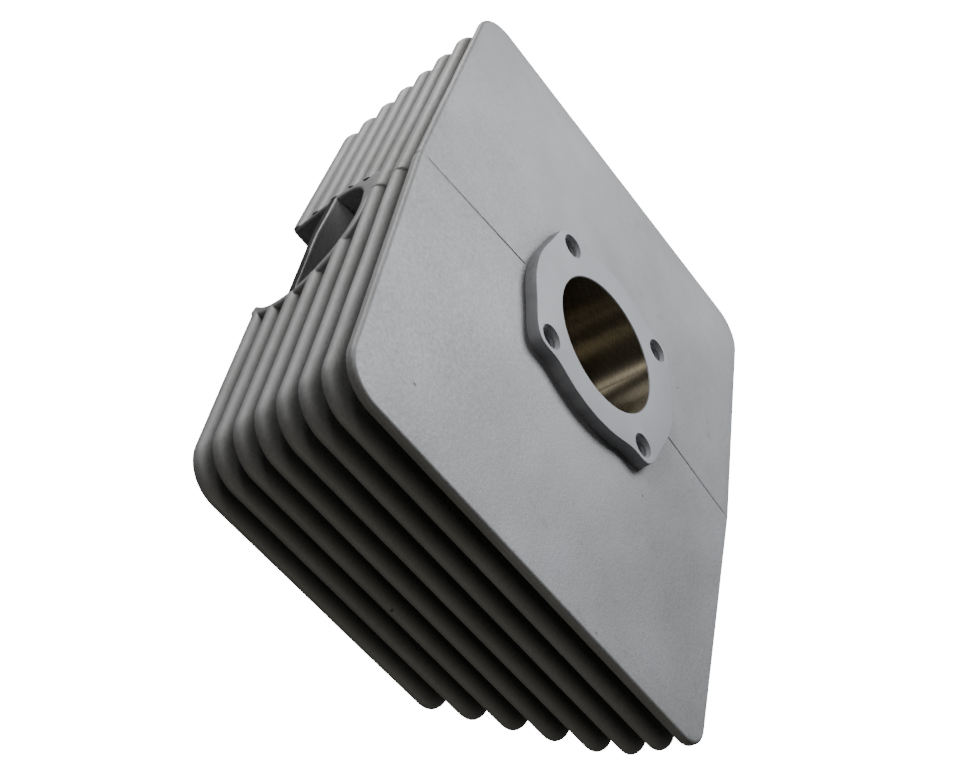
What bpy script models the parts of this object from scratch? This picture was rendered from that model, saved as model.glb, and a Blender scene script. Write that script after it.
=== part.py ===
"""Air-cooled two-stroke cylinder barrel with eight rectangular fins.

All lengths are metres. The model is built about the bore axis, with z = 0 at the
upper face of the top fin's edge, and is hung from one empty that lifts it so that
the spigot's end lies on the ground plane.
"""

from math import acos, atan2, cos, exp, pi, sin, sqrt, tan

import bmesh
import bpy
from mathutils import Vector

MM = 0.001
GAP = 0.3 * MM                    # clearance kept between neighbouring solids

# Bore and head face
BORE_R = 20.0 * MM
LINING_T = 1.2 * MM
BOSS_TOP = 5.7 * MM               # machined head face above the top fin's edge
BOSS_BOTTOM = -13.1 * MM
BOSS_R = 30.6 * MM                # mean reach of the boss
BOSS_OVAL = 1.1 * MM              # it is this much longer to the front and back
EAR_REACH = 34.6 * MM
EAR_WIDTH_SIDE = 0.148            # radians, flank of an ear that faces +X or -X
EAR_WIDTH_FRONT = 0.262           # flank that faces +Y or -Y
EAR_SPREAD = (0.03, 0.09, 0.15, 0.24, 0.36)   # radians from an ear's middle, where its outline is sampled
BOLT_XY = 20.65 * MM              # head bolts on a square, 41.3 mm apart
BOLT_HOLE_R = 3.1 * MM
BOLT_HOLE_DEPTH = 14.0 * MM
BOLT_SINK_R = 3.75 * MM

# Fins
FIN_COUNT = 8
FIN_PITCH = 7.9 * MM
TOP_FIN_T = 2.8 * MM              # top fin at its round tip
FIN_T = 3.8 * MM                  # the other fins
FIN_LEFT_T = 4.6 * MM             # the other fins in the mould half at -X
FIN_TIP_R = 1.35 * MM            # both edges of a tip, leaving a narrow flat between them
FIN_CROWN = 0.5 * MM              # extra height of each face at the root
TOP_CROWN = 2.3 * MM              # the same on the top fin's upper face
FIN_DRAFT = 0.038                 # front and back edges fall away from the parting plane
FRONT_REACH = 73.6 * MM
FRONT_STEP = 0.87 * MM
BACK_REACH = 69.8 * MM
BACK_STEP = 0.97 * MM
BACK_CUT_END = 34.3 * MM          # back reach of the lowest fin
BACK_CUT_STEP = 7.4 * MM
SIDE_REACH = 87.3 * MM
SIDE_STEP = 0.68 * MM
CORNER_R = 10.75 * MM
CORNER_STEP = 0.05 * MM
TIGHT_CORNER_R = 8.2 * MM         # the corner at +X and +Y

# Barrel, base and spigot
CORE_R = 29.0 * MM
CORE_BOTTOM = -65.7 * MM
BASE_TOP = -66.0 * MM
BASE_BOTTOM = -74.0 * MM
BASE_HALF = 33.5 * MM
BASE_CORNER_R = 8.0 * MM
STUD_XY = 26.0 * MM
STUD_HOLE_R = 3.6 * MM
SPIGOT_R = 23.6 * MM
SPIGOT_BOTTOM = -94.0 * MM
NOTCH_HALF = 9.0 * MM
NOTCH_H = 12.0 * MM

# Round well around the inlet, open towards the crankcase
WELL_X = 3.0 * MM
WELL_Z = -43.0 * MM
WELL_R = 20.5 * MM
WELL_WALL = 3.0 * MM
WELL_LEG_X = -18.5 * MM           # inner face of the straight leg at the bottom
WELL_BOTTOM = -58.0 * MM
WELL_BACK = -44.0 * MM
WEB_TOP = -36.9 * MM              # the sixth fin crosses the well as a web
WEB_BOTTOM = -43.6 * MM
INLET_FACE = -50.0 * MM
INLET_LOW_X = -16.5 * MM
INLET_HIGH_X = 16.5 * MM
INLET_HOLE = (12.0 * MM, -55.0 * MM, -46.0 * MM)

# Exhaust outlet on the opposite side
EXHAUST_Z = -27.0 * MM
EXHAUST_R = 11.4 * MM
EXHAUST_HOLE_R = 9.0 * MM
EXHAUST_STUB_END = 60.0 * MM
EXHAUST_FACE = 67.5 * MM
EXHAUST_TIP_X = 36.0 * MM          # corners of the flange's diamond before rounding
EXHAUST_TIP_Z = 14.0 * MM
EXHAUST_STUD_X = 18.5 * MM
EXHAUST_STUD_R = 2.6 * MM
POCKET_HALF = 27.0 * MM           # recess in the fins' back edges that clears the flange

ROUND = 48


def clear_scene():
    for obj in list(bpy.data.objects):
        bpy.data.objects.remove(obj, do_unlink=True)


def make_material(name, colour, roughness, metallic):
    mat = bpy.data.materials.new(name)
    mat.use_nodes = True
    shader = mat.node_tree.nodes["Principled BSDF"]
    shader.inputs["Base Color"].default_value = (*colour, 1.0)
    shader.inputs["Roughness"].default_value = roughness
    shader.inputs["Metallic"].default_value = metallic
    return mat


def new_object(name, verts, faces, mat, root):
    mesh = bpy.data.meshes.new(name)
    mesh.from_pydata([tuple(v) for v in verts], [], faces)
    bm = bmesh.new()
    bm.from_mesh(mesh)
    bmesh.ops.recalc_face_normals(bm, faces=bm.faces)
    bm.to_mesh(mesh)
    bm.free()
    obj = bpy.data.objects.new(name, mesh)
    bpy.context.scene.collection.objects.link(obj)
    obj.parent = root
    if mat is not None:
        mesh.materials.append(mat)
    mesh.shade_smooth()
    mesh.set_sharp_from_angle(angle=0.6)
    return obj


def subtract(obj, cutter):
    cutter.hide_render = True
    cutter.display_type = "WIRE"
    mod = obj.modifiers.new("cut_" + cutter.name, "BOOLEAN")
    mod.operation = "DIFFERENCE"
    mod.solver = "EXACT"
    mod.object = cutter


def ring_faces(a, b, count):
    """Quads between two closed rings that start at vertex numbers a and b."""
    faces = []
    for i in range(count):
        j = (i + 1) % count
        faces.append((a + i, a + j, b + j, b + i))
    return faces


def stack(rings, closed=False):
    """Vertices and side faces of a pile of rings with equal counts."""
    verts = [v for ring in rings for v in ring]
    count = len(rings[0])
    faces = []
    for k in range(len(rings) - 1):
        faces += ring_faces(k * count, (k + 1) * count, count)
    if closed:
        faces += ring_faces((len(rings) - 1) * count, 0, count)
    else:
        faces.append(tuple(range(count)))
        faces.append(tuple(range((len(rings) - 1) * count, len(rings) * count)))
    return verts, faces


def circle(radius, count=ROUND):
    turns = [2 * pi * i / count for i in range(count)]
    return [(radius * cos(a), radius * sin(a)) for a in turns]


def lathe(name, profile, mat, root, closed=False, count=ROUND, centre=(0.0, 0.0)):
    """Solid turned about a vertical line; profile is a list of (radius, height)."""
    rings = []
    for radius, height in profile:
        rings.append([(x + centre[0], y + centre[1], height) for x, y in circle(radius, count)])
    verts, faces = stack(rings, closed)
    return new_object(name, verts, faces, mat, root)


def prism_y(name, outline, y_low, y_high, mat, root):
    """Outline of (x, z) points pushed along y."""
    rings = [[(x, y_low, z) for x, z in outline], [(x, y_high, z) for x, z in outline]]
    verts, faces = stack(rings)
    return new_object(name, verts, faces, mat, root)


def rounded(corners, radii, steps=5):
    """Polygon with its corners replaced by arcs."""
    points = []
    for i, here in enumerate(corners):
        if radii[i] <= 0.0:
            points.append(here)
            continue
        p = Vector(here)
        u = (Vector(corners[i - 1]) - p).normalized()
        v = (Vector(corners[(i + 1) % len(corners)]) - p).normalized()
        half = acos(max(-1.0, min(1.0, u.dot(v)))) / 2
        centre = p + (u + v).normalized() * radii[i] / sin(half)
        start = p + u * radii[i] / tan(half) - centre
        end = p + v * radii[i] / tan(half) - centre
        a0 = atan2(start.y, start.x)
        sweep = (atan2(end.y, end.x) - a0 + pi) % (2 * pi) - pi
        for k in range(steps + 1):
            a = a0 + sweep * k / steps
            points.append((centre.x + radii[i] * cos(a), centre.y + radii[i] * sin(a)))
    return points


def fin_size(k):
    """Front reach, back reach, side reach and corner radius of fin k."""
    front = FRONT_REACH - FRONT_STEP * k
    back = min(BACK_REACH - BACK_STEP * k, BACK_CUT_END + BACK_CUT_STEP * (FIN_COUNT - 1 - k))
    return front, back, SIDE_REACH - SIDE_STEP * k, CORNER_R + CORNER_STEP * k


def fin_outline(k, inset):
    front, back, side, radius = fin_size(k)
    front -= inset
    back -= inset
    side -= inset
    radius -= inset
    low = front - FIN_DRAFT * side
    high = back - FIN_DRAFT * side
    corners = [(-side, -low), (0.0, -front), (side, -low), (side, high), (0.0, back), (-side, high)]
    return rounded(corners, [radius, 0.0, radius, TIGHT_CORNER_R - inset, 0.0, radius])


def spoke_reach(outline, angle):
    """Distance from the axis to a star-shaped outline in one direction."""
    d = (cos(angle), sin(angle))
    for i, a in enumerate(outline):
        b = outline[(i + 1) % len(outline)]
        e = (b[0] - a[0], b[1] - a[1])
        cross = d[0] * e[1] - d[1] * e[0]
        if abs(cross) < 1e-15:
            continue
        t = (a[0] * e[1] - a[1] * e[0]) / cross
        s = (a[0] * d[1] - a[1] * d[0]) / cross
        if t > 0.0 and -1e-9 <= s <= 1.0 + 1e-9:
            return t
    return 0.0


def boss_reach(angle, offset):
    """Radius of the head boss outline: an oval with an ear at each bolt."""
    base = BOSS_R - BOSS_OVAL * cos(2 * angle)
    turn = angle % (2 * pi)
    from_ear = turn % (pi / 2) - pi / 4
    faces_front = (int(turn / (pi / 2)) % 2 == 0) == (from_ear > 0)
    width = EAR_WIDTH_FRONT if faces_front else EAR_WIDTH_SIDE
    return base + (EAR_REACH - base) * exp(-(from_ear / width) ** 2) + offset


def boss_angles():
    """Directions that crowd round the ears and spread out along the arcs between them."""
    angles = []
    for i in range(4):
        middle = pi / 4 + i * pi / 2
        for off in EAR_SPREAD:
            angles.append(middle - off)
            angles.append(middle + off)
        angles.append(middle + 0.55)
        angles.append(middle + pi / 4)
        angles.append(middle + pi / 2 - 0.55)
    return sorted(a % (2 * pi) for a in angles)


def boss_outline(offset):
    return [(boss_reach(a, offset) * cos(a), boss_reach(a, offset) * sin(a)) for a in boss_angles()]


def fin_heights(k, x):
    """Lower and upper face of fin k at its tip; the mould half at -X leaves it thicker."""
    if k == 0:
        return -TOP_FIN_T, 0.0
    low = -TOP_FIN_T - FIN_PITCH * k
    return low, low + (FIN_LEFT_T if x < 0.0 else FIN_T)


def make_fin(k, mat, root):
    corners = [atan2(y, x) % (2 * pi) for x, y in fin_outline(k, 0.0)]
    if k < 2:
        angles = boss_angles()
        angles = sorted(angles + [a for a in corners if min(abs(a - b) for b in angles) > 0.015])
        hole = [(boss_reach(a, GAP) * cos(a), boss_reach(a, GAP) * sin(a)) for a in angles]
    else:
        extra = [2 * pi * i / 36 + 0.03 for i in range(36)]
        angles = sorted(corners + [a for a in extra if min(abs(a - b) for b in corners) > 0.04])
        hole = [((CORE_R + GAP) * cos(a), (CORE_R + GAP) * sin(a)) for a in angles]
    crown_up = TOP_CROWN if k == 0 else FIN_CROWN
    rings = []
    for tilt, side in ((-pi / 2, 0), (-pi / 4, 0), (0.0, 0), (0.0, 1), (pi / 4, 1), (pi / 2, 1)):
        outline = fin_outline(k, FIN_TIP_R * (1 - cos(tilt)))
        ring = []
        for a in angles:
            r = spoke_reach(outline, a)
            low, high = fin_heights(k, cos(a))
            middle = (low + FIN_TIP_R, high - FIN_TIP_R)[side]
            ring.append((r * cos(a), r * sin(a), middle + FIN_TIP_R * sin(tilt)))
        rings.append(ring)
    rings.append([(x, y, fin_heights(k, x)[1] + crown_up) for x, y in hole])
    rings.append([(x, y, fin_heights(k, x)[0] - FIN_CROWN) for x, y in hole])
    verts, faces = stack(rings, closed=True)
    return new_object("fin_%d" % (k + 1), verts, faces, mat, root)


def front_surface(x, z):
    """Reach of the finned front face at a height, following the fins' taper and draft."""
    return FRONT_REACH - FRONT_STEP * (-z / FIN_PITCH) - FIN_DRAFT * abs(x) - 0.2 * MM


def well_path(offset, z_low, z_high, side):
    """Points (x, z) down one leg of the well between two heights."""
    points = []
    radius = WELL_R + offset
    for i in range(9):
        z = z_high + (z_low - z_high) * i / 8
        reach = sqrt(max(radius * radius - (z - WELL_Z) ** 2, 0.0))
        x = WELL_X + side * reach
        if side < 0 and z < WELL_Z:
            slope = (z - WELL_Z) / (WELL_BOTTOM - WELL_Z)
            x = (WELL_X - WELL_R) * (1 - slope) + WELL_LEG_X * slope - offset
        points.append((x, z))
    return points


def well_arch(offset, z_low):
    radius = WELL_R + offset
    start = sqrt(radius * radius - (z_low - WELL_Z) ** 2)
    a0 = atan2(z_low - WELL_Z, start)
    steps = 20
    return [(WELL_X + radius * cos(a0 + (pi - 2 * a0) * i / steps),
             WELL_Z + radius * sin(a0 + (pi - 2 * a0) * i / steps)) for i in range(steps + 1)]


def band(name, inner, outer, back, mat, root):
    """Wall between two paths of (x, z) points, from the finned face back to a plane."""
    rings = []
    for (xi, zi), (xo, zo) in zip(inner, outer):
        rings.append([
            (xi, -front_surface(xi, zi), zi),
            (xo, -front_surface(xo, zo), zo),
            (xo, back, zo),
            (xi, back, zi),
        ])
    verts, faces = stack(rings)
    return new_object(name, verts, faces, mat, root)


def well_outline(offset):
    left = well_path(offset, WELL_BOTTOM - 4 * MM, WELL_Z, -1)
    right = well_path(offset, WELL_BOTTOM - 4 * MM, WELL_Z, 1)
    arch = well_arch(offset, WELL_Z)
    return arch[:-1] + left + right[::-1][:-1]


def build():
    clear_scene()
    cast = make_material("cast_aluminium", (0.55, 0.56, 0.57), 0.55, 0.6)
    machined = make_material("machined_aluminium", (0.62, 0.63, 0.65), 0.35, 0.8)
    honed = make_material("honed_bore", (0.33, 0.28, 0.20), 0.25, 0.9)

    root = bpy.data.objects.new("bore_axis", None)
    bpy.context.scene.collection.objects.link(root)
    root.location = (0.0, (FRONT_REACH - BACK_REACH) / 2, -SPIGOT_BOTTOM)

    fins = [make_fin(k, cast, root) for k in range(FIN_COUNT)]

    # Head boss with its bore, chamfer and four blind bolt holes
    outline = boss_outline(0.0)
    rings = [[(x, y, z) for x, y in outline] for z in (BOSS_BOTTOM, BOSS_TOP)]
    verts, faces = stack(rings)
    boss = new_object("head_boss", verts, faces, machined, root)
    lining_r = BORE_R + LINING_T
    sleeve_top = BOSS_TOP - 1.3 * MM
    subtract(boss, lathe("cutter_boss_bore", [
        (lining_r + GAP, BOSS_BOTTOM - MM),
        (lining_r + GAP, sleeve_top + GAP),
        (BORE_R + 0.1 * MM, sleeve_top + GAP),
        (BORE_R + 0.1 * MM, BOSS_TOP - 0.6 * MM),
        (BORE_R + 1.2 * MM, BOSS_TOP + 0.5 * MM)], None, root))
    for sx in (-1, 1):
        for sy in (-1, 1):
            subtract(boss, lathe("cutter_bolt_%d_%d" % (sx + 1, sy + 1), [
                (0.6 * MM, BOSS_TOP - BOLT_HOLE_DEPTH - 1.4 * MM),
                (BOLT_HOLE_R, BOSS_TOP - BOLT_HOLE_DEPTH),
                (BOLT_HOLE_R, BOSS_TOP - (BOLT_SINK_R - BOLT_HOLE_R)),
                (BOLT_SINK_R + 0.5 * MM, BOSS_TOP + 0.5 * MM)],
                None, root, count=16, centre=(sx * BOLT_XY, sy * BOLT_XY)))

    # Barrel core, lining, base flange and spigot
    core = lathe("barrel_core", [
        (CORE_R, BOSS_BOTTOM - GAP), (CORE_R, CORE_BOTTOM), (lining_r + GAP, CORE_BOTTOM),
        (lining_r + GAP, BOSS_BOTTOM - GAP)], cast, root, closed=True)
    lining = lathe("bore_lining", [
        (lining_r, sleeve_top),
        (lining_r, SPIGOT_BOTTOM),
        (BORE_R, SPIGOT_BOTTOM),
        (BORE_R, sleeve_top)], honed, root, closed=True)
    spigot = lathe("spigot", [
        (SPIGOT_R, BASE_BOTTOM - GAP),
        (SPIGOT_R, SPIGOT_BOTTOM + 1.5 * MM),
        (SPIGOT_R - 0.8 * MM, SPIGOT_BOTTOM),
        (lining_r + GAP, SPIGOT_BOTTOM),
        (lining_r + GAP, BASE_BOTTOM - GAP)], machined, root, closed=True)
    half = BASE_HALF
    square = rounded([(-half, -half), (half, -half), (half, half), (-half, half)], [BASE_CORNER_R] * 4)
    rings = [[(x, y, z) for x, y in square] for z in (BASE_BOTTOM, BASE_TOP)]
    verts, faces = stack(rings)
    base = new_object("base_flange", verts, faces, machined, root)
    subtract(base, lathe("cutter_base_bore", [
        (lining_r + GAP, BASE_BOTTOM - MM), (lining_r + GAP, BASE_TOP + MM)], None, root))
    for sx in (-1, 1):
        for sy in (-1, 1):
            subtract(base, lathe("cutter_stud_%d_%d" % (sx + 1, sy + 1), [
                (STUD_HOLE_R, BASE_BOTTOM - MM), (STUD_HOLE_R, BASE_TOP + MM)],
                None, root, count=16, centre=(sx * STUD_XY, sy * STUD_XY)))
    notch_box = [(-NOTCH_HALF, SPIGOT_BOTTOM - MM), (NOTCH_HALF, SPIGOT_BOTTOM - MM),
                 (NOTCH_HALF, SPIGOT_BOTTOM + NOTCH_H), (-NOTCH_HALF, SPIGOT_BOTTOM + NOTCH_H)]
    notch_outline = rounded(notch_box, [0.0, 0.0, 4 * MM, 4 * MM])
    notch = prism_y("cutter_notch", notch_outline, -40 * MM, 40 * MM, None, root)
    notch.rotation_euler = (0.0, 0.0, pi / 2)
    subtract(spigot, notch)
    subtract(lining, notch)

    # Inlet well: arch above the web, two legs below it, and the inlet face behind
    band("well_arch", well_arch(0.0, WEB_TOP), well_arch(WELL_WALL, WEB_TOP), WELL_BACK, cast, root)
    for side, name in ((-1, "well_leg_left"), (1, "well_leg_right")):
        band(name, well_path(0.0, WELL_BOTTOM, WEB_BOTTOM, side),
             well_path(WELL_WALL, WELL_BOTTOM, WEB_BOTTOM, side), WELL_BACK, cast, root)
    inside = well_outline(0.0)
    around = well_outline(WELL_WALL + GAP)
    wide_cut = prism_y("cutter_well", around, -90 * MM, WELL_BACK + GAP, None, root)
    deep_cut = prism_y("cutter_well_deep", inside, -90 * MM, -20 * MM, None, root)
    shallow_cut = prism_y("cutter_well_shallow", inside, -90 * MM, -CORE_R - 6 * MM, None, root)
    for k, inner_cut in ((3, shallow_cut), (4, shallow_cut), (6, deep_cut), (7, deep_cut)):
        subtract(fins[k], wide_cut)
        subtract(fins[k], inner_cut)
    hole_half, hole_low, hole_high = INLET_HOLE
    block_outline = [
        (INLET_LOW_X, WELL_BOTTOM),
        (INLET_HIGH_X - 3.5 * MM, WELL_BOTTOM),
        (INLET_HIGH_X, WELL_BOTTOM + 5 * MM),
        (INLET_HIGH_X, WEB_BOTTOM),
        (INLET_LOW_X, WEB_BOTTOM)]
    block = prism_y("inlet_port_block", block_outline, INLET_FACE, -20 * MM, machined, root)
    clear_r = CORE_R + GAP
    subtract(block, lathe("cutter_core_clear", [(clear_r, -80 * MM), (clear_r, -30 * MM)], None, root))
    window = rounded([
        (-hole_half, hole_low), (hole_half, hole_low), (hole_half, hole_high), (-hole_half, hole_high)],
        [2 * MM] * 4)
    inlet_cut = prism_y("cutter_inlet", window, -90 * MM, -5 * MM, None, root)
    for part in (block, core, lining):
        subtract(part, inlet_cut)

    # Exhaust stub and flange
    def disc_xz(radius, count=32, x=0.0):
        return [(x + px, EXHAUST_Z + pz) for px, pz in circle(radius, count)]

    stub = prism_y("exhaust_stub", disc_xz(EXHAUST_R), 20 * MM, EXHAUST_STUB_END, cast, root)
    subtract(stub, lathe("cutter_core_clear_2", [(clear_r, -50 * MM), (clear_r, -5 * MM)], None, root))
    exhaust_cut = prism_y("cutter_exhaust", disc_xz(EXHAUST_HOLE_R, 24), 5 * MM, 90 * MM, None, root)
    stub_clear = prism_y("cutter_stub_clear", disc_xz(EXHAUST_R + GAP), 15 * MM, 90 * MM, None, root)
    flange_low = EXHAUST_Z - EXHAUST_TIP_Z
    flange_high = EXHAUST_Z + EXHAUST_TIP_Z
    oval = rounded([
        (-EXHAUST_TIP_X, EXHAUST_Z), (0.0, flange_low), (EXHAUST_TIP_X, EXHAUST_Z), (0.0, flange_high)],
        [6 * MM, 9 * MM, 6 * MM, 9 * MM])
    flange = prism_y("exhaust_flange", oval, EXHAUST_STUB_END + GAP, EXHAUST_FACE, machined, root)
    for part in (stub, core, lining, flange):
        subtract(part, exhaust_cut)
    for sx in (-1, 1):
        ring = disc_xz(EXHAUST_STUD_R, 16, sx * EXHAUST_STUD_X)
        subtract(flange, prism_y("cutter_exhaust_stud_%d" % (sx + 1), ring, 50 * MM, 80 * MM, None, root))
    pocket = [
        (-POCKET_HALF, flange_low), (POCKET_HALF, flange_low),
        (POCKET_HALF, flange_high), (-POCKET_HALF, flange_high)]
    pocket_cut = prism_y("cutter_flange_pocket", pocket, EXHAUST_STUB_END - MM, 90 * MM, None, root)
    for k in (2, 3, 4, 5):
        subtract(fins[k], stub_clear)
    for k in (2, 3):
        subtract(fins[k], pocket_cut)


build()
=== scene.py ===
"""Looks of a finned two-stroke barrel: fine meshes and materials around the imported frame.

Shapes are worked out in millimetres about the bore axis, with z = 0 at the upper
face of the top fin's edge and +Z towards the head face, and are then placed in the
frame by its own boxes.
"""

from math import acos, atan2, cos, exp, pi, sin, sqrt, tan

import bmesh
import bpy
import numpy as np
from mathutils import Matrix, Vector, noise


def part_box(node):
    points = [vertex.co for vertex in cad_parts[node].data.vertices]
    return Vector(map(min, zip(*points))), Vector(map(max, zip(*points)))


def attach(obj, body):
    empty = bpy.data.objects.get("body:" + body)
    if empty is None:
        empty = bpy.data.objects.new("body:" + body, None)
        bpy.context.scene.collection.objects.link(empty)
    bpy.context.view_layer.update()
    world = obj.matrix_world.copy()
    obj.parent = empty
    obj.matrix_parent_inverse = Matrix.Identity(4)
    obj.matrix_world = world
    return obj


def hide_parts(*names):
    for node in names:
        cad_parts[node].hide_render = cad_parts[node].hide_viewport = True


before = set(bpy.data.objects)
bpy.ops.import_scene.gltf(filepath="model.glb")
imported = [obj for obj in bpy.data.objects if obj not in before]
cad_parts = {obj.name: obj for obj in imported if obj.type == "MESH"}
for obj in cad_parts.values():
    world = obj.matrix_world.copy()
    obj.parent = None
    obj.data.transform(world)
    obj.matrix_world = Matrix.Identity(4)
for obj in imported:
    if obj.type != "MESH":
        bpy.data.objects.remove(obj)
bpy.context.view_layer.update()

MM = 0.001

# Sizes, in millimetres
BORE_R = 20.0
LINING_T = 1.2
BOSS_TOP = 5.7
BOSS_BOTTOM = -13.1
BOSS_R = 30.6                    # mean reach of the head boss
BOSS_OVAL = 1.1                  # it is this much longer to the front and back
EAR_REACH = 34.6
EAR_WIDTHS = (0.148, 0.262)      # radians, on an ear's side-facing and front-facing flanks
BOLT_XY = 20.65
BOLT_R = 2.95
THREAD_R = 3.4
THREAD_PITCH = 1.0
BOLT_SINK_R = 3.62
BOLT_DEPTH = 14.0

FIN_COUNT = 8
FIN_PITCH = 7.9
TOP_FIN_T = (2.2, 2.8)           # top fin at the tip, in the mould halves at -X and +X
FIN_T = (4.6, 3.8)               # the other fins, whose lower faces run straight across
FIN_CROWN = 0.45
TOP_CROWN = 2.1
FIN_DRAFT = 0.038
FRONT_REACH, FRONT_STEP = 73.6, 0.87
BACK_REACH, BACK_STEP = 69.8, 0.97
BACK_CUT_END, BACK_CUT_STEP = 34.3, 7.4
SIDE_REACH, SIDE_STEP = 87.3, 0.68
CORNER_R, CORNER_STEP = 10.75, 0.05
TIGHT_CORNER_R = 8.2             # the corner at +X and +Y
TIP_LOW_R = 0.45                 # tight round under a fin's tip
TIP_HIGH_R = 3.0                 # height and depth of the long soft round above it
TIP_HIGH_DEPTH = 3.4
TIP_FLAT = 0.2                   # least height left between the two rounds
TOP_TIP_R = 1.1                  # round at the top fin's upper edge
THINNING = 0.25                  # the fins are this much thinner at their far ends
SINK = 1.5                       # how far a fin's root runs into the core or boss
ROOT_FILLET = 1.6
BOSS_FILLET = 0.05
SEAM_STEP = 0.08                 # the two mould halves don't quite meet
SEAM_DEPTH = 0.20
SEAM_AT = 52.0                   # distance from the bore at which the seam has its stated width
SEAM_OFFSETS = (-0.9, -0.5, -0.28, -0.12, 0.02, 0.16, 0.30, 0.50, 0.9)
SEAM_CLEAR = 1.6                 # half width of the strip whose spokes are replaced by these

CORE_R = 29.0
BASE_TOP, BASE_BOTTOM = -66.0, -74.0
BASE_HALF, BASE_CORNER_R = 33.5, 8.0
STUD_XY, STUD_R = 26.0, 3.6
SPIGOT_R, SPIGOT_BOTTOM = 23.6, -94.0
NOTCH_HALF, NOTCH_H = 9.0, 12.0

WELL_X, WELL_Z, WELL_R = 3.0, -43.0, 20.5
WELL_WALL, WELL_RIM = 3.0, 0.9
EAR_RISE, EAR_TURN, EAR_SPAN = 4.4, 1.98, 0.30   # thicker place on top of the well's wall
WALL_OVERLAP = 1.15              # how far the fins run into the wall
WELL_LEG_X, WELL_BOTTOM, WELL_BACK = -18.5, -58.0, -30.0
WEB_TOP_Z, WEB_BOTTOM_Z = -39.6, -42.4
WEB_EDGE = 0.45                  # depth of the eased front edge
INLET_FACE = -50.0
INLET_WINDOW = (12.0, -55.0, -46.0)

EXHAUST_Z, EXHAUST_R, EXHAUST_HOLE_R = -27.0, 11.4, 9.0
EXHAUST_STUB_END, EXHAUST_FACE = 60.0, 67.5
EXHAUST_TIP_X, EXHAUST_TIP_Z, EXHAUST_STUD_X = 36.0, 14.0, 18.5
POCKET_HALF = 27.0               # recess in the fins' back edges that clears the flange

LINING_TOP = 5.4
BOSS_CHAMFER, BORE_CHAMFER = 0.16, 0.22

lining_low, lining_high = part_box("bore_lining")
ORIGIN = np.array([
    (lining_low[0] + lining_high[0]) / 2,
    (lining_low[1] + lining_high[1]) / 2,
    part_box("head_boss")[1][2] - BOSS_TOP * MM,
])


# ---------------------------------------------------------------- mesh helpers

def mesh_object(name, points, faces, angle=0.6):
    """Object in the frame from points in millimetres about the bore."""
    mesh = bpy.data.meshes.new(name)
    placed = np.asarray(points, dtype=float) * MM + ORIGIN
    mesh.from_pydata(placed.tolist(), [], faces)
    bm = bmesh.new()
    bm.from_mesh(mesh)
    bmesh.ops.recalc_face_normals(bm, faces=bm.faces)
    bm.to_mesh(mesh)
    bm.free()
    mesh.shade_smooth()
    mesh.set_sharp_from_angle(angle=angle)
    obj = bpy.data.objects.new(name, mesh)
    bpy.context.scene.collection.objects.link(obj)
    return obj


def stack(rings, closed=False):
    """Points and faces of a pile of rings with equal counts."""
    rings = [np.asarray(r, dtype=float) for r in rings]
    count = len(rings[0])
    total = len(rings)
    faces = []
    for k in range(total if closed else total - 1):
        a = k * count
        b = ((k + 1) % total) * count
        for i in range(count):
            j = (i + 1) % count
            faces.append((a + i, a + j, b + j, b + i))
    if not closed:
        faces.append(tuple(range(count)))
        faces.append(tuple(range((total - 1) * count, total * count)))
    return np.concatenate(rings), faces


def settle(obj, angle=0.6):
    """Turns the object's modifiers into plain mesh."""
    graph = bpy.context.evaluated_depsgraph_get()
    mesh = bpy.data.meshes.new_from_object(obj.evaluated_get(graph))
    obj.modifiers.clear()
    obj.data = mesh
    mesh.shade_smooth()
    mesh.set_sharp_from_angle(angle=angle)


def cut(obj, cutters, angle=0.6):
    for cutter in cutters:
        mod = obj.modifiers.new("cut", "BOOLEAN")
        mod.operation = "DIFFERENCE"
        mod.solver = "EXACT"
        mod.object = cutter
    settle(obj, angle)


def discard(objects):
    for obj in objects:
        bpy.data.objects.remove(obj, do_unlink=True)


def bevel(obj, width, segments=3, limit=0.6):
    mod = obj.modifiers.new("edge", "BEVEL")
    mod.width = width * MM
    mod.segments = segments
    mod.limit_method = "ANGLE"
    mod.angle_limit = limit
    settle(obj)


def arc(cx, cy, radius, start, end, steps):
    return [(cx + radius * cos(start + (end - start) * i / steps),
             cy + radius * sin(start + (end - start) * i / steps)) for i in range(steps + 1)]


def rounded(corners, radii, steps=10):
    """Polygon with its corners replaced by arcs."""
    points = []
    for i, here in enumerate(corners):
        if radii[i] <= 0.0:
            points.append(here)
            continue
        p = Vector(here)
        u = (Vector(corners[i - 1]) - p).normalized()
        v = (Vector(corners[(i + 1) % len(corners)]) - p).normalized()
        half = acos(max(-1.0, min(1.0, u.dot(v)))) / 2
        centre = p + (u + v).normalized() * radii[i] / sin(half)
        start = p + u * radii[i] / tan(half) - centre
        end = p + v * radii[i] / tan(half) - centre
        a0 = atan2(start.y, start.x)
        sweep = (atan2(end.y, end.x) - a0 + pi) % (2 * pi) - pi
        points += arc(centre.x, centre.y, radii[i], a0, a0 + sweep, steps)
    return points


def lathe(name, profile, count=160, centre=(0.0, 0.0), closed=False, angle=0.6):
    """Solid turned about a vertical line; profile is a list of (radius, height)."""
    turn = np.arange(count) * 2 * pi / count
    rings = []
    for radius, height in profile:
        rings.append(np.stack([centre[0] + radius * np.cos(turn), centre[1] + radius * np.sin(turn),
                               np.full(count, float(height))], axis=1))
    points, faces = stack(rings, closed)
    return mesh_object(name, points, faces, angle)


def prism_z(name, outline, low, high):
    rings = [[(x, y, z) for x, y in outline] for z in (low, high)]
    points, faces = stack(rings)
    return mesh_object(name, points, faces)


def prism_y(name, outline, low, high):
    rings = [[(x, y, z) for x, z in outline] for y in (low, high)]
    points, faces = stack(rings)
    return mesh_object(name, points, faces)


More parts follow.
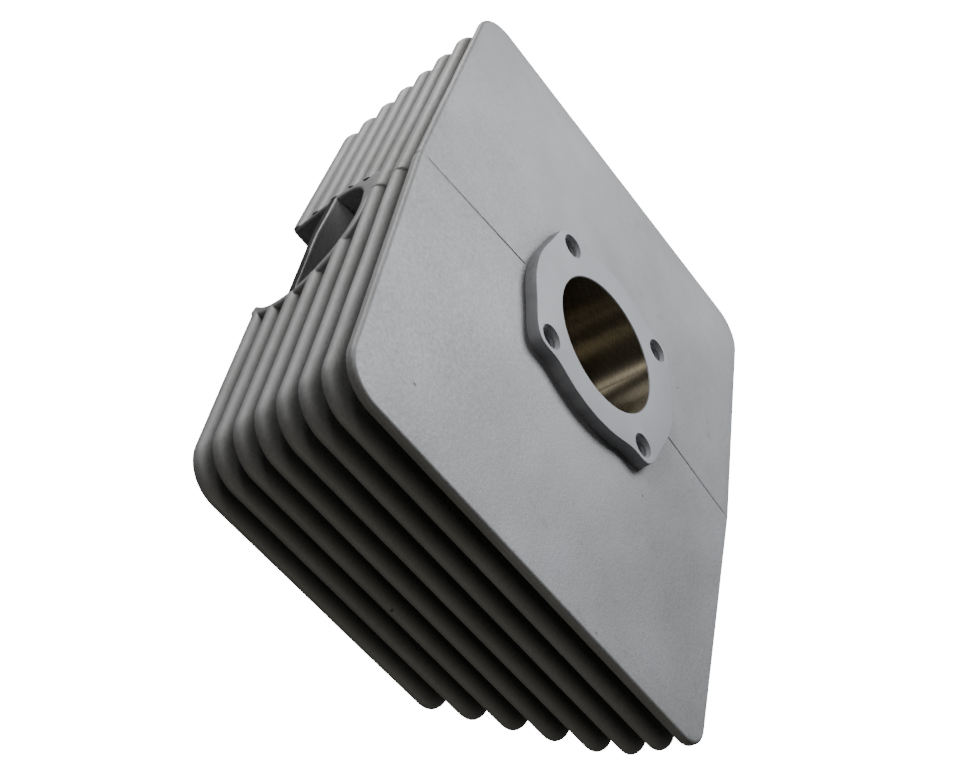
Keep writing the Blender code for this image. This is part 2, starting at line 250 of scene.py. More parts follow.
def tube_y(name, profile, centre_z, centre_x=0.0, count=96):
    """Solid turned about a line along y; profile is a list of (radius, y)."""
    turn = [2 * pi * i / count for i in range(count)]
    rings = [[(centre_x + r * cos(a), y, centre_z + r * sin(a)) for a in turn] for r, y in profile]
    points, faces = stack(rings)
    return mesh_object(name, points, faces)


def thread_profile(top, depth, outer, inner, pitch, drill=1.2):
    """Blind threaded hole as a turned outline, from its cone to its countersunk mouth."""
    profile = [(0.05, top - depth - drill), (inner, top - depth)]
    z = top - depth + pitch / 2
    while z < top - 1.6:
        profile += [(inner, z), (outer, z + 0.45 * pitch), (outer, z + 0.55 * pitch)]
        z += pitch
    return profile + [(inner, z), (inner, top - 1.0)]


def show(obj, material, slot, *nodes):
    """Rides the one body, takes its finish and stands for the CAD nodes named."""
    obj.data.materials.clear()
    obj.data.materials.append(material)
    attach(obj, "root")
    if nodes:
        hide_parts(*nodes)


def ripple(x, y, z, scale, seed):
    """Smooth unevenness between -1 and 1."""
    return noise.noise(Vector((x / scale + seed, y / scale - seed, z / scale + 3 * seed)))


# ------------------------------------------------------------------- materials

class Nodes:
    """Small builder for one material's node tree."""

    def __init__(self, name):
        self.material = bpy.data.materials.new(name)
        self.material.use_nodes = True
        self.tree = self.material.node_tree
        self.shader = self.tree.nodes["Principled BSDF"]
        self.place = self.add("ShaderNodeTexCoord").outputs["Object"]

    def add(self, kind, **settings):
        node = self.tree.nodes.new(kind)
        for key, value in settings.items():
            setattr(node, key, value)
        return node

    def link(self, source, target):
        self.tree.links.new(source, target)

    def noise(self, scale, detail=4.0, rough=0.55, stretch=None):
        node = self.add("ShaderNodeTexNoise")
        node.inputs["Scale"].default_value = scale
        node.inputs["Detail"].default_value = detail
        node.inputs["Roughness"].default_value = rough
        if stretch:
            mapping = self.add("ShaderNodeMapping")
            mapping.inputs["Scale"].default_value = stretch
            self.link(self.place, mapping.inputs["Vector"])
            self.link(mapping.outputs["Vector"], node.inputs["Vector"])
        else:
            self.link(self.place, node.inputs["Vector"])
        return node.outputs["Fac"]

    def ramp(self, value, stops):
        node = self.add("ShaderNodeValToRGB")
        points = node.color_ramp.elements
        while len(points) < len(stops):
            points.new(0.5)
        for point, (position, colour) in zip(points, stops):
            point.position = position
            point.color = (*colour, 1.0) if len(colour) == 3 else (colour[0],) * 3 + (1.0,)
        self.link(value, node.inputs["Fac"])
        return node.outputs["Color"]

    def span(self, value, low, high, to_low, to_high):
        node = self.add("ShaderNodeMapRange")
        for key, number in (("From Min", low), ("From Max", high), ("To Min", to_low), ("To Max", to_high)):
            node.inputs[key].default_value = number
        self.link(value, node.inputs["Value"])
        return node.outputs["Result"]

    def blend(self, kind, factor, first, second):
        node = self.add("ShaderNodeMix", data_type="RGBA", blend_type=kind)
        if isinstance(factor, float):
            node.inputs["Factor"].default_value = factor
        else:
            self.link(factor, node.inputs["Factor"])
        for socket, value in ((node.inputs[6], first), (node.inputs[7], second)):
            if isinstance(value, tuple):
                socket.default_value = (*value, 1.0)
            else:
                self.link(value, socket)
        return node.outputs[2]

    def bumps(self, layers):
        """Chain of bump nodes, one for each (height, strength, distance)."""
        normal = None
        for height, strength, distance in layers:
            node = self.add("ShaderNodeBump")
            node.inputs["Strength"].default_value = strength
            node.inputs["Distance"].default_value = distance
            self.link(height, node.inputs["Height"])
            if normal is not None:
                self.link(normal, node.inputs["Normal"])
            normal = node.outputs["Normal"]
        self.link(normal, self.shader.inputs["Normal"])


def cast_material(name, corner_shade_level):
    """Bead-blasted casting: fine peened grain over broad soft clouds, with painted shade darkening its
    corners and the feet of its walls.
    """
    m = Nodes(name)
    clouds = m.noise(28.0, 3.0, 0.5)
    grain = m.noise(900.0, 3.0, 0.6)
    peen = m.noise(2600.0, 2.0, 0.5)
    stains = m.noise(150.0, 6.0, 0.7)
    tint = m.ramp(clouds, [
        (0.30, (0.300, 0.300, 0.303)),
        (0.55, (0.345, 0.347, 0.355)),
        (0.75, (0.375, 0.380, 0.392))])
    fine = m.ramp(grain, [(0.25, (0.86,)), (0.55, (1.0,)), (0.8, (1.08,))])
    tint = m.blend("MULTIPLY", 0.8, tint, fine)
    spots = m.ramp(stains, [(0.30, (0.80, 0.79, 0.77)), (0.40, (1.0, 1.0, 1.0))])
    tint = m.blend("MULTIPLY", 0.6, tint, spots)
    cells = m.add("ShaderNodeTexVoronoi")
    cells.inputs["Scale"].default_value = 55.0
    m.link(m.place, cells.inputs["Vector"])
    pits = m.ramp(cells.outputs["Distance"], [(0.018, (0.25, 0.245, 0.235)), (0.032, (1.0, 1.0, 1.0))])
    tint = m.blend("MULTIPLY", 0.9, tint, pits)
    mottle = m.ramp(m.noise(70.0, 5.0, 0.6), [(0.35, (0.95,)), (0.65, (1.03,))])
    tint = m.blend("MULTIPLY", 0.8, tint, mottle)
    # Painted shade: ambient occlusion darkens the colour in corners, creases and at wall feet, standing in
    # for the soft shadow there
    corner = m.add("ShaderNodeAmbientOcclusion", samples=6)
    corner.inputs["Distance"].default_value = 0.009
    painted_corner_shade = m.ramp(corner.outputs["AO"], [(0.50, (0.30, 0.29, 0.25)), (0.93, (1.0, 1.0, 1.0))])
    tint = m.blend("MULTIPLY", corner_shade_level, tint, painted_corner_shade)
    m.link(tint, m.shader.inputs["Base Color"])
    m.link(m.span(grain, 0.2, 0.8, 0.50, 0.68), m.shader.inputs["Roughness"])
    m.shader.inputs["Metallic"].default_value = 0.35
    m.bumps([(clouds, 0.25, 0.0012), (grain, 0.35, 0.0002), (peen, 0.4, 0.0001)])
    return m.material


def machined_material():
    """Faced metal: faint turned rings about the bore, and a little satin variation."""
    m = Nodes("machined_aluminium")
    clouds = m.noise(60.0, 3.0, 0.5)
    grain = m.noise(1500.0, 2.0, 0.5)
    parts = m.add("ShaderNodeSeparateXYZ")
    m.link(m.place, parts.inputs[0])
    offset = m.add("ShaderNodeCombineXYZ")
    m.link(parts.outputs["X"], offset.inputs["X"])
    shifted = m.add("ShaderNodeMath", operation="SUBTRACT")
    m.link(parts.outputs["Y"], shifted.inputs[0])
    shifted.inputs[1].default_value = float(ORIGIN[1])
    m.link(shifted.outputs[0], offset.inputs["Y"])
    radius = m.add("ShaderNodeVectorMath", operation="LENGTH")
    m.link(offset.outputs[0], radius.inputs[0])
    rings = m.add("ShaderNodeTexNoise", noise_dimensions="1D")
    rings.inputs["Scale"].default_value = 2600.0
    rings.inputs["Detail"].default_value = 2.0
    m.link(radius.outputs["Value"], rings.inputs["W"])
    tint = m.ramp(clouds, [(0.3, (0.362, 0.366, 0.382)), (0.7, (0.392, 0.397, 0.415))])
    lines = m.ramp(rings.outputs["Fac"], [(0.3, (0.95,)), (0.7, (1.03,))])
    tint = m.blend("MULTIPLY", 0.6, tint, lines)
    m.link(tint, m.shader.inputs["Base Color"])
    m.link(m.span(clouds, 0.3, 0.7, 0.58, 0.68), m.shader.inputs["Roughness"])
    m.shader.inputs["Metallic"].default_value = 0.30
    m.bumps([(rings.outputs["Fac"], 0.12, 0.00006), (grain, 0.15, 0.00005)])
    return m.material


def honed_material():
    """Plated bore with crossed honing marks at about 25 degrees and a bronze cast.

    The marks run mostly round the bore, so its highlights are drawn out up and down it.
    """
    m = Nodes("honed_bore")
    parts = m.add("ShaderNodeSeparateXYZ")
    m.link(m.place, parts.inputs[0])
    shifted = m.add("ShaderNodeMath", operation="SUBTRACT")
    m.link(parts.outputs["Y"], shifted.inputs[0])
    shifted.inputs[1].default_value = float(ORIGIN[1])
    turn = m.add("ShaderNodeMath", operation="ARCTAN2")
    m.link(shifted.outputs[0], turn.inputs[0])
    m.link(parts.outputs["X"], turn.inputs[1])
    round_way = m.add("ShaderNodeMath", operation="MULTIPLY")
    m.link(turn.outputs[0], round_way.inputs[0])
    round_way.inputs[1].default_value = BORE_R * MM
    marks = None
    for slope in (0.47, -0.47):
        lean = m.add("ShaderNodeMath", operation="MULTIPLY_ADD")
        m.link(round_way.outputs[0], lean.inputs[0])
        lean.inputs[1].default_value = slope
        m.link(parts.outputs["Z"], lean.inputs[2])
        lines = m.add("ShaderNodeTexNoise", noise_dimensions="1D")
        lines.inputs["Scale"].default_value = 1800.0
        lines.inputs["Detail"].default_value = 2.0
        m.link(lean.outputs[0], lines.inputs["W"])
        if marks is None:
            marks = lines.outputs["Fac"]
        else:
            both = m.add("ShaderNodeMath", operation="ADD")
            m.link(marks, both.inputs[0])
            m.link(lines.outputs["Fac"], both.inputs[1])
            marks = both.outputs[0]
    clouds = m.noise(60.0, 4.0, 0.6)
    tint = m.ramp(clouds, [
        (0.3, (0.30, 0.255, 0.175)),
        (0.6, (0.35, 0.305, 0.22)),
        (0.8, (0.40, 0.36, 0.28))])
    streaks = m.ramp(m.span(marks, 0.7, 1.3, 0.0, 1.0), [(0.3, (0.82,)), (0.7, (1.06,))])
    tint = m.blend("MULTIPLY", 0.8, tint, streaks)
    m.link(tint, m.shader.inputs["Base Color"])
    m.link(m.span(clouds, 0.3, 0.7, 0.40, 0.46), m.shader.inputs["Roughness"])
    m.shader.inputs["Metallic"].default_value = 0.95
    m.shader.inputs["Anisotropic"].default_value = 0.98
    m.shader.inputs["Anisotropic Rotation"].default_value = 0.25
    tangent = m.add("ShaderNodeTangent", direction_type="RADIAL", axis="Z")
    m.link(tangent.outputs["Tangent"], m.shader.inputs["Tangent"])
    m.bumps([(marks, 0.06, 0.00004)])
    return m.material


def milled_painted_shade_material():
    """End-milled face: metal with straight cutter lines; its dark base colour is painted shade for the
    shaded front face of the web.
    """
    m = Nodes("milled_aluminium_painted_shade")
    lines = m.noise(500.0, 3.0, 0.6, stretch=(0.15, 1.0, 3.0))
    # Painted shade: a very dark base colour stands in for the shade lying on the web's front face
    tint = m.ramp(lines, [(0.3, (0.13, 0.13, 0.128)), (0.7, (0.20, 0.20, 0.198))])
    m.link(tint, m.shader.inputs["Base Color"])
    m.link(m.span(lines, 0.3, 0.7, 0.26, 0.40), m.shader.inputs["Roughness"])
    m.shader.inputs["Metallic"].default_value = 0.9
    m.bumps([(lines, 0.15, 0.00006)])
    return m.material


# The two cast copies differ only in how much painted corner shade they carry; the well's copy has far less
CAST = cast_material("cast_aluminium", 0.55)
CAST_WELL = cast_material("cast_well", 0.08)
MACHINED = machined_material()
HONED = honed_material()
MILLED_PAINTED_SHADE = milled_painted_shade_material()


# ------------------------------------------------------------------------ fins

def fin_reach(k):
    """Front, back and side reach and corner radius of fin k, counted from the head."""
    front = FRONT_REACH - FRONT_STEP * k
    back = min(BACK_REACH - BACK_STEP * k, BACK_CUT_END + BACK_CUT_STEP * (FIN_COUNT - 1 - k))
    return front, back, SIDE_REACH - SIDE_STEP * k, CORNER_R + CORNER_STEP * k


def fin_outline(k, inset):
    front, back, side, radius = (size - inset for size in fin_reach(k))
    low = front - FIN_DRAFT * side
    high = back - FIN_DRAFT * side
    tight = TIGHT_CORNER_R - inset
    corners = [(-side, -low), (0.0, -front), (side, -low), (side, high), (0.0, back), (-side, high)]
    return rounded(corners, [radius, 0.0, radius, tight, 0.0, radius], 24)


def spaced(outline, step):
    """Closed outline resampled at about one spacing."""
    p = np.array(outline + outline[:1])
    run = np.concatenate([[0.0], np.cumsum(np.hypot(*np.diff(p, axis=0).T))])
    at = np.linspace(0.0, run[-1], int(run[-1] / step) + 1)[:-1]
    return np.stack([np.interp(at, run, p[:, 0]), np.interp(at, run, p[:, 1])], axis=1)


def reach(outline, angles):
    """Distance from the axis to a star-shaped outline along each direction."""
    p = spaced(outline, 0.25)
    around = np.arctan2(p[:, 1], p[:, 0])
    return np.interp(angles, around[np.argsort(around)], np.hypot(p[:, 0], p[:, 1])[np.argsort(around)],
                     period=2 * pi)


def boss_reach(angles, offset):
    """Outline of the head boss: an oval with an ear at each bolt, fuller towards front and back."""
    base = BOSS_R - BOSS_OVAL * np.cos(2 * angles)
    from_ear = (angles % (pi / 2)) - pi / 4
    towards_y = (np.floor(angles % (2 * pi) / (pi / 2)) % 2 == 0) == (from_ear > 0)
    width = np.where(towards_y, EAR_WIDTHS[1], EAR_WIDTHS[0])
    return base + (EAR_REACH - base) * np.exp(-(from_ear / width) ** 2) + offset


def seam_profile(x, scale):
    """Height change near the mould's parting plane: a small step with a groove at its foot."""
    u = x / scale
    step = SEAM_STEP * 0.5 * (1.0 - np.tanh(u / 0.25))
    return step - SEAM_DEPTH * np.exp(-((u - 0.12) / 0.24) ** 2)


def fin_directions(k):
    """Spokes that follow the outline, with a tight bunch along the parting plane."""
    front, back, _, _ = fin_reach(k)
    p = spaced(fin_outline(k, 0.0), 1.5)
    around = np.arctan2(p[:, 1], p[:, 0])
    for middle, distance in ((-pi / 2, front), (pi / 2, back)):
        near = np.abs((around - middle + pi) % (2 * pi) - pi) < SEAM_CLEAR / distance
        around = around[~near]
        sign = 1.0 if middle < 0 else -1.0
        bunch = middle + sign * np.array(SEAM_OFFSETS) / SEAM_AT
        around = np.concatenate([around, bunch])
    return np.sort(around)


def fin_thickness(k, x):
    """Tip thickness, with a step where the mould halves meet."""
    left, right = TOP_FIN_T if k == 0 else FIN_T
    step = 0.5 * (1.0 - np.tanh(x / 0.35))
    return right + (left - right) * step - THINNING * np.abs(x) / SIDE_REACH


def fin_mesh(k):
    """Fin k as a closed pile of rings: round the tip, in along the top, back along the bottom."""
    turn = fin_directions(k)
    ca, sa = np.cos(turn), np.sin(turn)
    root = boss_reach(turn, 0.0) if k < 2 else np.full(len(turn), CORE_R)
    inside = root - SINK
    edge = reach(fin_outline(k, 0.0), turn)
    half = fin_thickness(k, edge * ca) / 2
    if k == 0:
        middle = -half
    else:
        middle = half - TOP_FIN_T[1] - FIN_PITCH * k
    room = 2.0 * half - TIP_LOW_R - TIP_FLAT
    tip_rise = np.minimum(TOP_TIP_R if k == 0 else TIP_HIGH_R, room)
    tip_depth = TOP_TIP_R if k == 0 else TIP_HIGH_DEPTH
    starts = {-1.0: reach(fin_outline(k, TIP_LOW_R), turn), 1.0: reach(fin_outline(k, tip_depth), turn)}
    wobble = np.array([0.10 * ripple(x, y, k, 16.0, 2.0 + k) + 0.04 * ripple(x, y, k, 4.0, 5.0 + k)
                       for x, y in zip(edge * ca, edge * sa)])
    rings = []
    under = [(TIP_LOW_R, -pi / 2 + pi / 2 * i / 8) for i in range(9)]
    over = [(tip_depth, pi / 2 * i / 10) for i in range(11)]
    for depth, tilt in under + over:
        r = reach(fin_outline(k, depth * (1 - cos(tilt))), turn) + wobble * cos(tilt)
        if depth == TIP_LOW_R:
            z = middle - half + TIP_LOW_R * (1.0 + sin(tilt))
        else:
            z = middle + half - tip_rise * (1.0 - sin(tilt))
        x = r * ca
        r = r + 0.8 * seam_profile(x, edge / SEAM_AT) * cos(tilt)
        rings.append(np.stack([r * ca, r * sa, z], axis=1))

    def face(side, crown, steps):
        """Rings of the upper (+1) or lower (-1) face, from the tip to the root."""
        fillet_r = BOSS_FILLET if k == 0 and side > 0 else ROOT_FILLET
        made = []
        for i in range(1, steps + 1):
            s = i / steps
            s = 1.0 - (1.0 - s) ** 1.25
            r = starts[side] + (root - starts[side]) * s
            far = np.maximum(r - root, 0.0)
            fillet = np.maximum(fillet_r - far, 0.0)
            rise = fillet_r - np.sqrt(fillet_r ** 2 - fillet ** 2)
            x, y = r * ca, r * sa
            uneven = np.array([0.07 * ripple(a, b, side * 9.0, 22.0, 1.0 + k)
                               + 0.025 * ripple(a, b, side * 5.0, 6.0, 4.0 + k) for a, b in zip(x, y)])
            fade = min(1.0, s * 8.0)
            lift = crown * s ** 1.15 + rise + uneven * fade
            if side > 0:
                lift = lift + seam_profile(x, r / SEAM_AT) * np.minimum(1.0, far / 1.2)
            made.append(np.stack([x, y, middle + side * (half + lift)], axis=1))
        made.append(np.stack([inside * ca, inside * sa, made[-1][:, 2]], axis=1))
        return made

    steps = 34 if k == 0 else 16
    upper = face(1.0, TOP_CROWN if k == 0 else FIN_CROWN, steps)
    lower = face(-1.0, FIN_CROWN, 16)
    points, faces = stack(rings + upper + lower[::-1], closed=True)
    return mesh_object("fin_%d_skin" % (k + 1), points, faces, 0.9)


# ------------------------------------------------------------------ inlet well

def front_surface(x, z):
    """Reach of the finned front at a height, following the fins' taper and draft."""
    return FRONT_REACH - FRONT_STEP * (-z / FIN_PITCH) - FIN_DRAFT * abs(x) - 0.15


def well_stations():
    """Inner point, outward direction and wall thickness, up the left leg, over and down."""
    stations = []
    legs = 26
    for i in range(legs):
        f = i / legs
        z = WELL_BOTTOM + (WELL_Z - WELL_BOTTOM) * f
        x = WELL_LEG_X + (WELL_X - WELL_R - WELL_LEG_X) * f ** 1.4
        stations.append(((x, z), (-1.0, 0.0), 1.9 + 0.9 * f))
    steps = 90
    for i in range(steps + 1):
        a = pi - pi * i / steps
        ear = EAR_RISE * exp(-((a - EAR_TURN) / EAR_SPAN) ** 4)
        point = (WELL_X + WELL_R * cos(a), WELL_Z + WELL_R * sin(a))
        stations.append((point, (cos(a), sin(a)), WELL_WALL + ear))
    for i in range(1, legs + 1):
        z = WELL_Z + (WELL_BOTTOM - WELL_Z) * i / legs
        c = sqrt(WELL_R ** 2 - (z - WELL_Z) ** 2)
        stations.append(((WELL_X + c, z), (c / WELL_R, (z - WELL_Z) / WELL_R), WELL_WALL))
    return stations


def well_wall():
    """One band of wall with a softly rounded rim, from the finned front to the barrel."""
    rings = []
    rim = WELL_RIM
    for (x, z), (ux, uz), thick in well_stations():
        ring = [(x, WELL_BACK, z)]
        profile = [(0.0, rim)]
        for i in range(1, 6):
            a = pi / 2 * i / 5
            profile.append((rim * (1 - cos(a)), rim * (1 - sin(a))))
        for i in range(0, 6):
            a = pi / 2 * (1 - i / 5)
            profile.append((thick - rim * (1 - cos(a)), rim * (1 - sin(a))))
        for out, back in profile:
            px, pz = x + ux * out, z + uz * out
            wave = 0.06 * ripple(px, 0.0, pz, 5.0, 7.0)
            ring.append((px, -front_surface(px, pz) + back + wave, pz))
        ring.append((x + ux * thick, WELL_BACK, z + uz * thick))
        rings.append(ring)
    points, faces = stack(rings)
    return mesh_object("well_wall", points, faces, 0.9)


def well_cutter(overlap, low, high):
    """Space of the well and its wall, less an overlap by which the fins run into the wall."""
    path = []
    for (x, z), (ux, uz), thick in well_stations():
        out = thick - overlap
        path.append((x + ux * out, z + uz * out))
    foot = [(path[-1][0], WELL_BOTTOM - 8.0), (path[0][0], WELL_BOTTOM - 8.0)]
    return prism_y("cutter_well", path + foot, low, high)


def well_web():
    """The sixth fin carried across the well, its upper side the crown of the inlet duct."""
    columns, rows = 44, 40
    left, right = WELL_X - WELL_R - 1.2, WELL_X + WELL_R + 1.0
    top, low = [], []
    for j in range(rows + 1):
        t = (j / rows) ** 2
        line_top, line_low = [], []
        for i in range(columns + 1):
            s = i / columns
            x = left + (right - left) * s
            y_front = -front_surface(x, WEB_TOP_Z)
            y = y_front + (WELL_BACK - y_front) * t
            depth = y - y_front
            edge = max(0.0, 1.0 - depth / WEB_EDGE)
            slope = 0.38 * cos(pi * min(1.0, s * 1.15)) - 0.10
            rise = slope * depth + 0.05 * ripple(x, y, 0.0, 5.0, 9.0) * min(1.0, depth / 2)
            line_top.append((x, y, WEB_TOP_Z + rise - 0.35 * edge ** 2))
            line_low.append((x, y, WEB_BOTTOM_Z + 0.35 * edge ** 2 - 0.02 * depth))
        top.append(line_top)
        low.append(line_low)
    rings = []
    for i in range(columns + 1):
        ring = [top[j][i] for j in range(rows, -1, -1)] + [low[j][i] for j in range(rows + 1)]
        rings.append(ring)
    points, faces = stack(rings)
    return mesh_object("well_web", points, faces, 0.7)


# ------------------------------------------------------------ build the pieces

def build_fins():
    well = well_cutter(WALL_OVERLAP, -90.0, WELL_BACK)
    low, high = EXHAUST_Z - EXHAUST_TIP_Z, EXHAUST_Z + EXHAUST_TIP_Z
    pocket = prism_y("cutter_pocket", rounded(
        [(-POCKET_HALF, low), (POCKET_HALF, low), (POCKET_HALF, high), (-POCKET_HALF, high)], [4.0] * 4),
        EXHAUST_STUB_END - 1.0, 90.0)
    for k in range(FIN_COUNT):
        fin = fin_mesh(k)
        cutters = []
        if k in (3, 4, 5, 6, 7):
            cutters.append(well)
        if k in (2, 3):
            cutters.append(pocket)
        if cutters:
            cut(fin, cutters, 0.5)
        show(fin, CAST, "cast", "fin_%d" % (k + 1))
    discard([well, pocket])


def build_boss():
    turn = np.arange(720) * 2 * pi / 720
    walls = [(BOSS_BOTTOM, 0.0), (0.5, 0.0)]
    for i in range(5):
        a = pi / 2 * i / 4
        walls.append((BOSS_TOP - BOSS_CHAMFER * (1 - sin(a)), -0.25 - BOSS_CHAMFER * (1 - cos(a))))
    rings = []
    for z, offset in walls:
        r = boss_reach(turn, offset)
        if 0.0 < z < BOSS_TOP - 0.1:
            r = r + np.array([0.05 * ripple(30 * cos(a), 30 * sin(a), z, 3.0, 6.0) for a in turn])
        rings.append(np.stack([r * np.cos(turn), r * np.sin(turn), np.full(len(turn), z)], axis=1))
    seat = LINING_TOP - 0.05
    for r, z in ((BORE_R + BORE_CHAMFER, BOSS_TOP), (BORE_R, BOSS_TOP - BORE_CHAMFER), (BORE_R, seat),
                 (BORE_R + 0.9, seat), (BORE_R + 0.9, BOSS_BOTTOM)):
        rings.append(np.stack([r * np.cos(turn), r * np.sin(turn), np.full(len(turn), z)], axis=1))
    points, faces = stack(rings, closed=True)
    boss = mesh_object("head_boss_skin", points, faces, 0.5)
    drills = []
    for sx in (-1, 1):
        for sy in (-1, 1):
            profile = thread_profile(BOSS_TOP, BOLT_DEPTH, THREAD_R, BOLT_R, THREAD_PITCH)
            profile += [
                (THREAD_R + 0.02, BOSS_TOP - 0.35),
                (BOLT_SINK_R, BOSS_TOP),
                (BOLT_SINK_R + 0.5, BOSS_TOP + 0.5)]
            drills.append(lathe("cutter_bolt", profile, 48, (sx * BOLT_XY, sy * BOLT_XY)))
    cut(boss, drills, 0.5)
    discard(drills)
    show(boss, MACHINED, "machined", "head_boss")


def build_barrel():
    window_half, window_low, window_high = INLET_WINDOW
    window = prism_y("cutter_window", rounded(
        [(-window_half, window_low), (window_half, window_low), (window_half, window_high),
         (-window_half, window_high)], [2.4] * 4), -90.0, -5.0)
    port = tube_y("cutter_port", [(EXHAUST_HOLE_R, 5.0), (EXHAUST_HOLE_R, 90.0)], EXHAUST_Z)
    notch = prism_y("cutter_notch", rounded(
        [(-NOTCH_HALF, SPIGOT_BOTTOM - 2.0), (NOTCH_HALF, SPIGOT_BOTTOM - 2.0),
         (NOTCH_HALF, SPIGOT_BOTTOM + NOTCH_H), (-NOTCH_HALF, SPIGOT_BOTTOM + NOTCH_H)],
        [0.0, 0.0, 4.0, 4.0]), -40.0, 40.0)
    turned = Matrix.Rotation(pi / 2, 4, "Z")
    centre = Matrix.Translation(Vector(ORIGIN))
    notch.data.transform(centre @ turned @ centre.inverted())

    wall = BORE_R + LINING_T
    fillet = [(CORE_R + 3.0 * (1 - sin(a)), BASE_TOP + 3.0 * (1 - cos(a)))
              for a in [pi / 2 * i / 6 for i in range(7)]]
    core = lathe("barrel_core_skin", [(CORE_R, BOSS_BOTTOM)] + fillet[::-1]
                 + [(wall, BASE_TOP), (wall, BOSS_BOTTOM)], 192, closed=True)
    cut(core, [window, port])
    show(core, CAST, "cast", "barrel_core")

    lining = lathe("bore_lining_skin", [
        (wall, LINING_TOP), (wall, SPIGOT_BOTTOM),
        (BORE_R + 0.5, SPIGOT_BOTTOM), (BORE_R, SPIGOT_BOTTOM + 0.8),
        (BORE_R, -60.0), (BORE_R, -30.0), (BORE_R, LINING_TOP)], 256, closed=True)
    cut(lining, [window, port, notch])
    bevel(lining, 0.25, 2, 0.9)
    show(lining, HONED, "honed", "bore_lining")

    spigot = lathe("spigot_skin", [
        (SPIGOT_R, BASE_BOTTOM), (SPIGOT_R, SPIGOT_BOTTOM + 2.2), (SPIGOT_R - 0.25, SPIGOT_BOTTOM + 1.9),
        (SPIGOT_R - 1.0, SPIGOT_BOTTOM), (wall, SPIGOT_BOTTOM), (wall, BASE_BOTTOM)], 192, closed=True)
    cut(spigot, [notch])
    show(spigot, MACHINED, "machined", "spigot")
    discard([notch])

    half = BASE_HALF
    base = prism_z("base_flange_skin", rounded([(-half, -half), (half, -half), (half, half), (-half, half)],
                                               [BASE_CORNER_R] * 4, 16), BASE_BOTTOM, BASE_TOP)
    bevel(base, 0.6, 4)
    studs = [lathe("cutter_base", [(wall, BASE_BOTTOM - 1.0), (wall, BASE_TOP + 1.0)], 160)]
    for sx in (-1, 1):
        for sy in (-1, 1):
            studs.append(lathe("cutter_stud", [
                (STUD_R + 1.6, BASE_BOTTOM - 1.0), (STUD_R, BASE_BOTTOM + 0.6), (STUD_R, BASE_TOP - 0.6),
                (STUD_R + 1.6, BASE_TOP + 1.0)], 64, (sx * STUD_XY, sy * STUD_XY)))
    cut(base, studs)
    discard(studs)
    show(base, MACHINED, "machined", "base_flange")

    block = prism_y("inlet_block_skin", rounded([
        (WELL_LEG_X - 0.3, WELL_BOTTOM + 0.2),
        (13.0, WELL_BOTTOM + 0.2),
        (17.5, WELL_BOTTOM + 5.0),
        (21.0, WELL_Z + 0.4),
        (WELL_LEG_X - 1.2, WELL_Z + 0.4)], [0.0, 1.0, 3.0, 0.0, 0.0]), INLET_FACE, -24.0)
    bore_clear = lathe("cutter_clear", [(wall + 2.0, -80.0), (wall + 2.0, -30.0)], 120)
    bevel(block, 0.5, 3)
    cut(block, [window, bore_clear])
    show(block, MACHINED, "machined", "inlet_port_block")
    discard([window, bore_clear])

    stub = tube_y("exhaust_stub_skin", [
        (EXHAUST_R + 3.0, 26.0), (EXHAUST_R + 1.2, 29.5), (EXHAUST_R + 0.2, 32.0), (EXHAUST_R, 35.0),
        (EXHAUST_R, 46.0), (EXHAUST_R, EXHAUST_STUB_END - 3.0), (EXHAUST_R + 0.4, EXHAUST_STUB_END - 1.2),
        (EXHAUST_R + 1.4, EXHAUST_STUB_END + 0.4)], EXHAUST_Z)
    inner = lathe("cutter_clear", [(CORE_R - 1.0, -50.0), (CORE_R - 1.0, -5.0)], 120)
    cut(stub, [port, inner])
    show(stub, CAST, "cast", "exhaust_stub")
    flange = prism_y("exhaust_flange_skin", rounded(
        [(-EXHAUST_TIP_X, EXHAUST_Z), (0.0, EXHAUST_Z - EXHAUST_TIP_Z), (EXHAUST_TIP_X, EXHAUST_Z),
         (0.0, EXHAUST_Z + EXHAUST_TIP_Z)], [6.0, 9.0, 6.0, 9.0], 14), EXHAUST_STUB_END, EXHAUST_FACE)
    bevel(flange, 0.6, 4)
    holes = [port]
    for sx in (-1, 1):
        profile = [(2.95, EXHAUST_STUB_END - 1.0)]
        y = EXHAUST_STUB_END - 0.5
        while y < EXHAUST_FACE - 1.2:
            profile += [(2.1, y), (2.5, y + 0.4), (2.5, y + 0.5)]
            y += 0.9
        profile += [(2.1, y), (2.55, EXHAUST_FACE - 0.4), (3.4, EXHAUST_FACE + 0.4)]
        holes.append(tube_y("cutter_exhaust_stud", profile, EXHAUST_Z, sx * EXHAUST_STUD_X, 40))
    cut(flange, holes)
    show(flange, MACHINED, "machined", "exhaust_flange")
    discard(holes + [inner])


def build_well():
    wall = well_wall()
    show(wall, CAST_WELL, "cast", "well_arch", "well_leg_left", "well_leg_right")
    web = well_web()
    show(web, CAST_WELL, "cast")
    # The web's front face takes the darkened milled finish, which is painted shade
    web.data.materials.append(MILLED_PAINTED_SHADE)
    for face in web.data.polygons:
        if face.normal.y < -0.9:
            face.material_index = 1


build_fins()
build_boss()
build_barrel()
build_well()


# ------------------------------------------------------------ floor and lights

FLOOR_SIZE, FLOOR_Z = 6.0, -0.0005
GLOW = 16.0                      # the floor and the surroundings as the camera sees them
AMBIENT = 0.05                   # the surroundings as the barrel sees them


